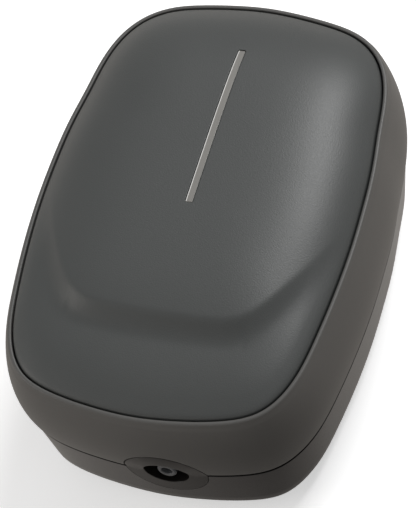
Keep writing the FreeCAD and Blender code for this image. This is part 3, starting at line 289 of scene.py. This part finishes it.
def long_bar(name, half, y0, y1, top, bottom, chamfer):
    """Bar along Y with rounded corners in plan; top and bottom are functions of y."""
    r, c = half * 0.45, chamfer
    ys = [y0 + r * (1 - math.cos(math.radians(a))) for a in range(0, 91, 15)]
    ys += list(np.linspace(y0 + r, y1 - r, 62))[1:-1]
    ys += [y1 - r * (1 - math.cos(math.radians(a))) for a in range(90, -1, -15)]
    verts, faces = [], []
    for y in ys:
        e = min(y - y0, y1 - y)      # distance from the nearer end
        w = half if e >= r else half - r + math.sqrt(max(0.0, r * r - (r - e)**2))
        drop = max(0.0, c - e)
        z = top(y)
        low, flat, bevel = bottom(y), z - drop, z - c * 0.25 - drop * 0.7
        verts += [(-w, y, low), (-w, y, z - c), (-w + c * 0.35, y, bevel), (-w + c, y, flat),
                  (w - c, y, flat), (w - c * 0.35, y, bevel), (w, y, z - c), (w, y, low)]
    m = 8                            # points in a section
    for i in range(len(ys) - 1):
        for k in range(m):
            q = (k + 1) % m
            faces.append((i * m + k, (i + 1) * m + k, (i + 1) * m + q, i * m + q))
    faces.append(tuple(range(m)))
    faces.append(tuple(range((len(ys) - 1) * m, len(ys) * m))[::-1])
    return make(name, verts, faces)


def boolean(obj, operation, *others):
    """Applies the operation with each of the others, which are then removed."""
    for other in others:
        mod = obj.modifiers.new("b", "BOOLEAN")
        mod.operation, mod.solver, mod.object = operation, "EXACT", other
    depsgraph = bpy.context.evaluated_depsgraph_get()
    mesh = bpy.data.meshes.new_from_object(obj.evaluated_get(depsgraph))
    obj.modifiers.clear()
    old, obj.data = obj.data, mesh
    bpy.data.meshes.remove(old)
    for other in others:
        bpy.data.objects.remove(other)
    mesh.name = obj.name


# ---- Node helpers -----------------------------------------------------------------
def add_node(tree, kind, inputs=None, **settings):
    """New node; each input is given a value, or a socket to link from."""
    node = tree.nodes.new(kind)
    for key, value in settings.items():
        setattr(node, key, value)
    for key, value in (inputs or {}).items():
        if isinstance(value, bpy.types.NodeSocket):
            tree.links.new(value, node.inputs[key])
        else:
            node.inputs[key].default_value = value
    return node


def map_range(tree, value, source=(0.0, 1.0), target=(0.0, 1.0)):
    return add_node(tree, "ShaderNodeMapRange", {
        "Value": value, "From Min": source[0], "From Max": source[1],
        "To Min": target[0], "To Max": target[1]}).outputs[0]


def maths(tree, operation, *inputs):
    return add_node(tree, "ShaderNodeMath", dict(enumerate(inputs)),
                    operation=operation).outputs[0]


def mix_colour(tree, factor, first, second):
    return add_node(tree, "ShaderNodeMix", {0: factor, 6: first, 7: second},
                    data_type="RGBA").outputs[2]


def mix_shader(tree, factor, first, second):
    return add_node(tree, "ShaderNodeMixShader", {0: factor, 1: first, 2: second}).outputs[0]


def object_coords(tree):
    return add_node(tree, "ShaderNodeTexCoord").outputs["Object"]


def smooth_group():
    """Node group that shades smooth, with edges sharper than the given angle kept."""
    tree = bpy.data.node_groups.new("smooth_by_angle", "GeometryNodeTree")
    new_socket = tree.interface.new_socket
    new_socket("Geometry", in_out="INPUT", socket_type="NodeSocketGeometry")
    angle = new_socket("Angle", in_out="INPUT", socket_type="NodeSocketFloat")
    angle.default_value = 0.55
    new_socket("Geometry", in_out="OUTPUT", socket_type="NodeSocketGeometry")
    group_in = add_node(tree, "NodeGroupInput")
    weld = add_node(tree, "GeometryNodeMergeByDistance",
                    {"Geometry": group_in.outputs[0], "Distance": 2e-6})
    bend = add_node(tree, "GeometryNodeInputMeshEdgeAngle")
    is_soft = add_node(tree, "FunctionNodeCompare", data_type="FLOAT", operation="LESS_EQUAL")
    tree.links.new(bend.outputs["Unsigned Angle"], is_soft.inputs[0])
    tree.links.new(group_in.outputs[1], is_soft.inputs[1])
    faces = add_node(tree, "GeometryNodeSetShadeSmooth", {"Geometry": weld.outputs[0]},
                     domain="FACE")
    edges = add_node(tree, "GeometryNodeSetShadeSmooth",
                     {"Geometry": faces.outputs[0], "Shade Smooth": is_soft.outputs[0]},
                     domain="EDGE")
    add_node(tree, "NodeGroupOutput", {0: edges.outputs[0]})
    return tree


SMOOTH = smooth_group()


def smooth(obj, angle):
    mod = obj.modifiers.new("smooth", "NODES")
    mod.node_group = SMOOTH
    mod[SMOOTH.interface.items_tree["Angle"].identifier] = math.radians(angle)


# ---- Materials --------------------------------------------------------------------
def finish(name, colour, rough, grain, bump, vary, metal=0.0, coat=0.0, edge_wear=0.0,
           stretch=(1, 1, 1), bevel=0.0, sheen=0.0, transmission=0.0):
    """Fine grain in bump and roughness, broad colour drift, light wear on edges.

    grain is the noise scale, stretch its scale per axis, vary the share by which the colour
    drifts, and bevel the radius in metres by which edges are rounded in shading.
    """
    material = bpy.data.materials.new(name)
    material.use_nodes = True
    material.diffuse_color = (*colour, 1)
    tree = material.node_tree
    surface = tree.nodes["Principled BSDF"]
    for key, value in {"Metallic": metal, "Coat Weight": coat, "Sheen Weight": sheen,
                       "Transmission Weight": transmission}.items():
        surface.inputs[key].default_value = value
    coords = object_coords(tree)
    mapping = add_node(tree, "ShaderNodeMapping", {"Vector": coords, "Scale": stretch})
    fine = add_node(tree, "ShaderNodeTexNoise", {
        "Vector": mapping.outputs[0], "Scale": grain, "Detail": 4}).outputs["Fac"]
    broad = add_node(tree, "ShaderNodeTexNoise", {
        "Vector": coords, "Scale": 35, "Detail": 3}).outputs["Fac"]
    # The colour follows the broad noise by 0.55 and the grain by 0.45.
    drift = maths(tree, "MULTIPLY_ADD", broad, 0.55, maths(tree, "MULTIPLY", fine, 0.45))
    shade = mix_colour(tree, drift, (*[c * (1 - vary) for c in colour], 1),
                       (*[c * (1 + vary) for c in colour], 1))
    if edge_wear:
        geometry = add_node(tree, "ShaderNodeNewGeometry")
        wear = map_range(tree, geometry.outputs["Pointiness"], source=(0.51, 0.60),
                         target=(0.0, edge_wear))
        shade = mix_colour(tree, wear, shade, (*[c * 2.2 + 0.04 for c in colour], 1))
    tree.links.new(shade, surface.inputs["Base Color"])
    gloss = map_range(tree, fine, target=(rough - 0.07, min(1.0, rough + 0.07)))
    tree.links.new(gloss, surface.inputs["Roughness"])
    relief = {"Strength": bump, "Distance": 0.0002, "Height": fine}
    if bevel:
        relief["Normal"] = add_node(tree, "ShaderNodeBevel", {"Radius": bevel},
                                    samples=6).outputs[0]
    relief_node = add_node(tree, "ShaderNodeBump", relief)
    tree.links.new(relief_node.outputs[0], surface.inputs["Normal"])
    return material


def paint_gap_shade(material, low, high):
    """Paints shade into the gap between the shells, from height low to high in mm: the colour
    there goes near black in place of the gap's shadow.
    """
    low, high, fade = low / 1000, high / 1000, 0.00006
    tree = material.node_tree
    surface = tree.nodes["Principled BSDF"]
    colour = surface.inputs["Base Color"]
    position = add_node(tree, "ShaderNodeNewGeometry").outputs["Position"]
    z = add_node(tree, "ShaderNodeSeparateXYZ", {0: position}).outputs[2]
    above = map_range(tree, z, source=(low - fade, low))
    below = map_range(tree, z, source=(high + fade, high))
    inside = maths(tree, "MULTIPLY", above, below)
    # Painted shade: near-black colour across the gap band.
    dark = mix_colour(tree, inside, colour.links[0].from_socket, (0.0015, 0.0013, 0.0012, 1))
    tree.links.new(dark, colour)
    gloss = map_range(tree, inside, target=(0.5, 0.0))      # no gloss inside the gap
    tree.links.new(gloss, surface.inputs["Specular IOR Level"])


def strip_edges(material):
    """Painted highlight as a pale line along the strip's -X edge, and painted shade as a dark
    line along its +X edge where the slot falls in shadow.
    """
    tree = material.node_tree
    colour = tree.nodes["Principled BSDF"].inputs["Base Color"]
    x = add_node(tree, "ShaderNodeSeparateXYZ", {0: object_coords(tree)}).outputs[0]
    painted_highlight = map_range(tree, x, source=(-0.00060, -0.00068))
    shaded = map_range(tree, x, source=(0.00074, 0.00082))
    result = mix_colour(tree, shaded, colour.links[0].from_socket, (0.09, 0.088, 0.083, 1))
    result = mix_colour(tree, painted_highlight, result, (0.80, 0.79, 0.77, 1))
    tree.links.new(result, colour)


FINISHES = {
    "cover_plastic": dict(colour=(0.066, 0.070, 0.069), rough=0.43, grain=3200, bump=0.22,
                          vary=0.14, bevel=0.0003),
    "upper_plastic": dict(colour=(0.093, 0.091, 0.087), rough=0.46, grain=3200, bump=0.14,
                          vary=0.08, bevel=0.0003, edge_wear=0.15),
    "base_plastic": dict(colour=(0.013, 0.0108, 0.0095), rough=0.30, grain=3000, bump=0.12,
                         vary=0.12, bevel=0.0003, edge_wear=0.10, sheen=0.10),
    "collar_plastic": dict(colour=(0.0095, 0.0082, 0.0074), rough=0.34, grain=3000, bump=0.12,
                           vary=0.12, bevel=0.0003, edge_wear=0.10),
    "strip_metal": dict(colour=(0.25, 0.243, 0.228), rough=0.42, metal=0.35, grain=1200,
                        bump=0.06, vary=0.06, stretch=(6, 0.15, 1)),
    "nipple_plastic": dict(colour=(0.105, 0.108, 0.115), rough=0.30, grain=1800, bump=0.05,
                           vary=0.12, bevel=0.0002),
    "soft_rubber": dict(colour=(0.022, 0.022, 0.022), rough=0.78, grain=1500, bump=0.2,
                        vary=0.2, sheen=0.1, bevel=0.0002),
    "cord_pvc": dict(colour=(0.022, 0.022, 0.023), rough=0.45, grain=1400, bump=0.1,
                     vary=0.15),
    "filter_felt": dict(colour=(0.70, 0.69, 0.64), rough=0.95, grain=1600, bump=0.9,
                        vary=0.12, sheen=0.5),
    "frame_plastic": dict(colour=(0.58, 0.58, 0.55), rough=0.5, grain=1800, bump=0.08,
                          vary=0.05, bevel=0.0002),
    "bobbin_nylon": dict(colour=(0.68, 0.63, 0.50), rough=0.45, grain=1500, bump=0.06,
                         vary=0.07, bevel=0.0002),
    "core_steel": dict(colour=(0.26, 0.26, 0.27), rough=0.4, metal=0.9, grain=300, bump=0.5,
                       vary=0.2, stretch=(0.02, 0.02, 8)),
    "screw_steel": dict(colour=(0.56, 0.56, 0.57), rough=0.32, metal=1.0, grain=900,
                        bump=0.08, vary=0.1, stretch=(1, 1, 5), bevel=0.0001),
    "copper_winding": dict(colour=(0.60, 0.24, 0.09), rough=0.3, metal=0.9, grain=500,
                           bump=0.7, vary=0.2, stretch=(0.05, 4, 0.05), coat=0.4),
    "magnet_ferrite": dict(colour=(0.055, 0.055, 0.06), rough=0.6, metal=0.2, grain=1500,
                           bump=0.3, vary=0.25, bevel=0.0002),
    "silicone": dict(colour=(0.55, 0.55, 0.53), rough=0.4, grain=900, bump=0.05, vary=0.05,
                     transmission=0.25),
    "wire_pvc": dict(colour=(0.32, 0.04, 0.03), rough=0.4, grain=1200, bump=0.08, vary=0.1),
}
materials = {name: finish(name, **values) for name, values in FINISHES.items()}
# Painted highlight on the strip's -X edge and painted shade on its +X edge.
strip_edges(materials["strip_metal"])
# Painted shade in the gap between the shells, on both shell plastics.
paint_gap_shade(materials["upper_plastic"], low=PARTING_Z - 0.05, high=PARTING_Z + SEAM + 0.22)
paint_gap_shade(materials["base_plastic"], low=PARTING_Z - 0.50, high=PARTING_Z + SEAM)

slots = {s["node"]: s["material_slot"] for s in frame["record"]["subparts"]}
for node_name, obj in nodes.items():
    obj.data.materials.clear()
    obj.data.materials.append(materials[slots[node_name]])
    smooth(obj, angle=30)
# The collar crosses the gap between the shells, so it takes a plastic without the painted gap
# shade.
nodes["outlet_collar"].data.materials[0] = materials["collar_plastic"]

body_of = {n: body for body, names in frame["record"]["behaviour"]["bodies"].items()
           for n in names}


def finish_piece(obj, node_name, slot, angle):
    """Gives a new piece its material and puts it in place of the CAD piece."""
    obj.data.materials.clear()
    obj.data.materials.append(materials[slot])
    for polygon in obj.data.polygons:
        polygon.material_index = 0
    smooth(obj, angle)
    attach(obj, body_of[node_name])
    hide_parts(node_name)


# ---- Rings round the housing ------------------------------------------------------
points, normals, groove = outline(OUTLINE_STEPS)
rim_z = rim(points[:, 1])
rim_height = rim_z - PARTING_Z


def inset(distance):
    """Plan of the outline moved inwards."""
    return points + normals * np.broadcast_to(distance, groove.shape)[:, None]


def shrink(plan, share):
    return CENTRE + (plan - CENTRE) * share


def ring(plan, z):
    return np.column_stack([plan, np.broadcast_to(z, groove.shape)])


def centre_point(z):
    return [np.array([0.0, CENTRE_Y, z])]


def rim_ring(plan, drop):
    """Ring at a depth below the rim."""
    return ring(plan, rim(plan[:, 1]) - drop)


def wall_ring(height, thickness=0.0):
    """Ring on the bulging outer wall, or inside it, at a height above the parting plane."""
    t = height / rim_height
    distance = (groove - LIP) * t - 4 * BULGE * t * (1 - t) + thickness
    return ring(inset(distance), PARTING_Z + height)


# ---- Upper shell: deck, lip, outer wall, rebate and inner wall ------------------------
def build_upper_shell():
    lip_inset = groove - GROOVE_HALF
    lip_plan = inset(lip_inset)
    rings = [centre_point(rim(CENTRE_Y) - SEAT_DEPTH)]
    rings += [rim_ring(shrink(lip_plan, f), SEAT_DEPTH) for f in (0.2, 0.45, 0.7, 0.88)]
    rings.append(rim_ring(lip_plan, SEAT_DEPTH))
    rings.append(ring(lip_plan, rim_z - INNER_ROUND - 0.6))
    for a in np.radians(range(0, 91, 18)):
        rings.append(ring(inset(lip_inset - INNER_ROUND * (1 - math.cos(a))),
                          rim_z - INNER_ROUND + INNER_ROUND * math.sin(a)))
    for a in np.radians(range(0, 91, 15)):
        rings.append(ring(inset(groove - LIP + OUTER_ROUND * (1 - math.sin(a))),
                          rim_z - OUTER_ROUND + OUTER_ROUND * math.cos(a)))
    wall_top = rim_height - OUTER_ROUND
    for k in range(1, 26):
        rings.append(wall_ring(SEAM + (wall_top - SEAM) * (1 - k / 25)))
    rings.append(ring(inset(REBATE_INSET), PARTING_Z + SEAM))
    rings.append(ring(inset(REBATE_INSET), PARTING_Z + REBATE_TOP))
    deck_height = rim_height - SEAT_DEPTH - DECK
    for k in range(9):
        rings.append(wall_ring(REBATE_TOP + (deck_height - REBATE_TOP) * k / 8, WALL))
    deck_plan = rings[-1][:, :2]
    rings += [rim_ring(shrink(deck_plan, f), SEAT_DEPTH + DECK) for f in (0.8, 0.5, 0.2)]
    rings.append(centre_point(rim(CENTRE_Y) - SEAT_DEPTH - DECK))
    shell = make_stack("upper_shell_moulding", rings)

    posts, holes = [], []
    for x in (-POST_X, POST_X):
        for y in (-POST_Y, POST_Y):
            posts.append(rod("post", POST_RADIUS, (x, y, PARTING_Z + 0.02),
                             (x, y, rim(y) - SEAT_DEPTH - 0.8), sides=48))
            holes.append(rod("hole", POST_HOLE_RADIUS, (x, y, PARTING_Z - 1),
                             (x, y, PARTING_Z + 8.0), sides=32))
    boolean(shell, "UNION", *posts)
    boolean(shell, "DIFFERENCE", *holes)
    # Bore through the -Y wall, with a wider pocket within the wall.
    cutters = [rod(name, radius, (BORE_X, y0, PARTING_Z), (BORE_X, y1, PARTING_Z), sides=160)
               for name, radius, y0, y1 in (("bore", BORE_RADIUS, -52, -68),
                                            ("pocket", POCKET_RADIUS, -55.4, -58.1))]
    boolean(shell, "DIFFERENCE", *cutters)
    finish_piece(shell, "upper_shell", "upper_plastic", angle=32)


# ---- Domed cover with a slot for the strip ----------------------------------------------
def build_cover():
    def dome_ring(plan, drop=0.0):
        return ring(plan, dome(plan[:, 0], plan[:, 1]) - drop)

    edge = inset(groove + GROOVE_HALF)
    inward = (edge - CENTRE) / np.linalg.norm(edge - CENTRE, axis=1)[:, None]
    rings = [centre_point(float(dome(0, CENTRE_Y)))]
    rings += [dome_ring(shrink(edge, f)) for f in np.linspace(0.03, 0.94, 74)]
    for e in COVER_EDGE_RINGS:
        turn = 1 - min(e / COVER_EDGE_WIDTH, 1)
        drop = COVER_EDGE_DROP * (1 - math.sqrt(1 - turn**2))
        rings.append(dome_ring(edge - inward * e, drop))
    seat = rim_ring(edge, SEAT_DEPTH)
    rings.append(ring(edge, 0.5 * rings[-1][:, 2] + 0.5 * seat[:, 2]))
    rings.append(seat)
    inner = inset(groove + GROOVE_HALF + COVER_WALL)
    inner_seat = rim_ring(inner, SEAT_DEPTH)
    rings.append(inner_seat)
    underside = dome_ring(inner, COVER_WALL)[:, 2]
    rings.append(ring(inner, np.maximum(underside, inner_seat[:, 2] + 0.05)))
    rings += [dome_ring(shrink(inner, f), COVER_WALL) for f in np.linspace(0.94, 0.06, 18)]
    rings.append(centre_point(float(dome(0, CENTRE_Y)) - COVER_WALL))
    cover = make_stack("cover_panel", rings)
    boolean(cover, "DIFFERENCE", long_bar(
        "slot", STRIP_HALF + STRIP_CLEARANCE, STRIP_Y0 - STRIP_CLEARANCE,
        STRIP_Y1 + STRIP_CLEARANCE, top=lambda y: 70.0,
        bottom=lambda y: mid_line(y) - STRIP_BED, chamfer=0.01))
    finish_piece(cover, "top_cover", "cover_plastic", angle=32)


def build_strip():
    strip = long_bar("trim_strip", STRIP_HALF, STRIP_Y0, STRIP_Y1,
                     top=lambda y: mid_line(y) - STRIP_SINK,
                     bottom=lambda y: mid_line(y) - STRIP_BED, chamfer=0.16)
    finish_piece(strip, "accent_strip", "strip_metal", angle=20)


# ---- Floor ------------------------------------------------------------------------
def floor_material():
    """Pale to the camera, dimmer and warmer to the object, and clear from below."""
    material = bpy.data.materials.new("pale_floor")
    material.use_nodes = True
    tree = material.node_tree
    seen = tree.nodes["Principled BSDF"]
    for key, value in {"Base Color": (0.93, 0.93, 0.93, 1), "Roughness": 0.85,
                       "Emission Color": (1, 1, 1, 1), "Emission Strength": 0.48}.items():
        seen.inputs[key].default_value = value
    # The light cast is weak round one spot and grows with distance in two stages, metres.
    distance = add_node(tree, "ShaderNodeVectorMath",
                        {0: object_coords(tree), 1: (0.050, -0.125, 0.0)},
                        operation="DISTANCE").outputs["Value"]
    near = map_range(tree, distance, source=(0.035, 0.10), target=(0.06, 0.42))
    far = map_range(tree, distance, source=(0.10, 0.40), target=(0.0, 0.55))
    cast = add_node(tree, "ShaderNodeEmission", {
        "Color": (1.0, 0.935, 0.87, 1), "Strength": maths(tree, "ADD", near, far)})
    path = add_node(tree, "ShaderNodeLightPath")
    above = mix_shader(tree, path.outputs["Is Camera Ray"], cast.outputs[0], seen.outputs[0])
    side = add_node(tree, "ShaderNodeNewGeometry")
    clear = add_node(tree, "ShaderNodeBsdfTransparent")
    result = mix_shader(tree, side.outputs["Backfacing"], above, clear.outputs[0])
    tree.links.new(result, tree.nodes["Material Output"].inputs["Surface"])
    return material


def build_floor():
    bm = bmesh.new()
    bmesh.ops.create_grid(bm, x_segments=8, y_segments=8, size=3.0)
    mesh = bpy.data.meshes.new("floor")
    bm.to_mesh(mesh)
    bm.free()
    floor = bpy.data.objects.new("floor", mesh)
    scene.collection.objects.link(floor)
    floor.location = (0, 0, CAD_LO.z - 0.00002)     # just clear of the base
    mesh.materials.append(floor_material())


# ---- Light and camera ---------------------------------------------------------------
def build_world():
    world = bpy.data.worlds.new("studio")
    scene.world = world
    world.use_nodes = True
    background = world.node_tree.nodes["Background"]
    background.inputs["Color"].default_value = (1, 1, 1, 1)
    background.inputs["Strength"].default_value = 0.30


def area_light(name, place, size, power, tint=(1, 1, 1)):
    """Rectangular light aimed at the middle of the product; metres and watts."""
    light = bpy.data.lights.new(name, "AREA")
    light.shape, light.energy, light.color = "RECTANGLE", power, tint
    light.size, light.size_y = size
    obj = bpy.data.objects.new(name, light)
    scene.collection.objects.link(obj)
    obj.location = place
    aim = (CAD_LO + CAD_HI) / 2 - Vector(place)
    obj.rotation_euler = aim.to_track_quat("-Z", "Y").to_euler()


def build_camera():
    """Long lens from above, on the +X and -Y side."""
    camera = bpy.data.cameras.new("camera")
    camera.sensor_width = 36.0
    camera.lens = 286.709528
    camera.clip_start, camera.clip_end = 0.05, 20
    obj = bpy.data.objects.new("camera", camera)
    scene.collection.objects.link(obj)
    right = (0.9410559, 0.2883353, -0.1768517)
    up = (-0.1486195, 0.8221309, 0.5495572)
    back = (0.3038519, -0.4908804, 0.8165234)
    turn = Matrix((right, up, back)).transposed().to_4x4()
    place = Vector(to_scene((307.03, -499.74, 859.53)))
    obj.matrix_world = Matrix.Translation(place) @ turn
    scene.camera = obj


build_upper_shell()
build_cover()
build_strip()
build_floor()
build_world()
WARM = (1.0, 0.95, 0.90)
area_light("rear_soft", place=(0.24, 0.66, 1.06), size=(0.5, 0.4), power=10.0)
area_light("front_soft", place=(-0.35, -1.1, 0.08), size=(0.7, 0.2), power=0.8, tint=WARM)
area_light("left_soft", place=(-0.9, -0.5, 0.45), size=(0.7, 0.6), power=2.6, tint=WARM)
build_camera()
scene.view_settings.view_transform = "Standard"

bpy.context.view_layer.update()
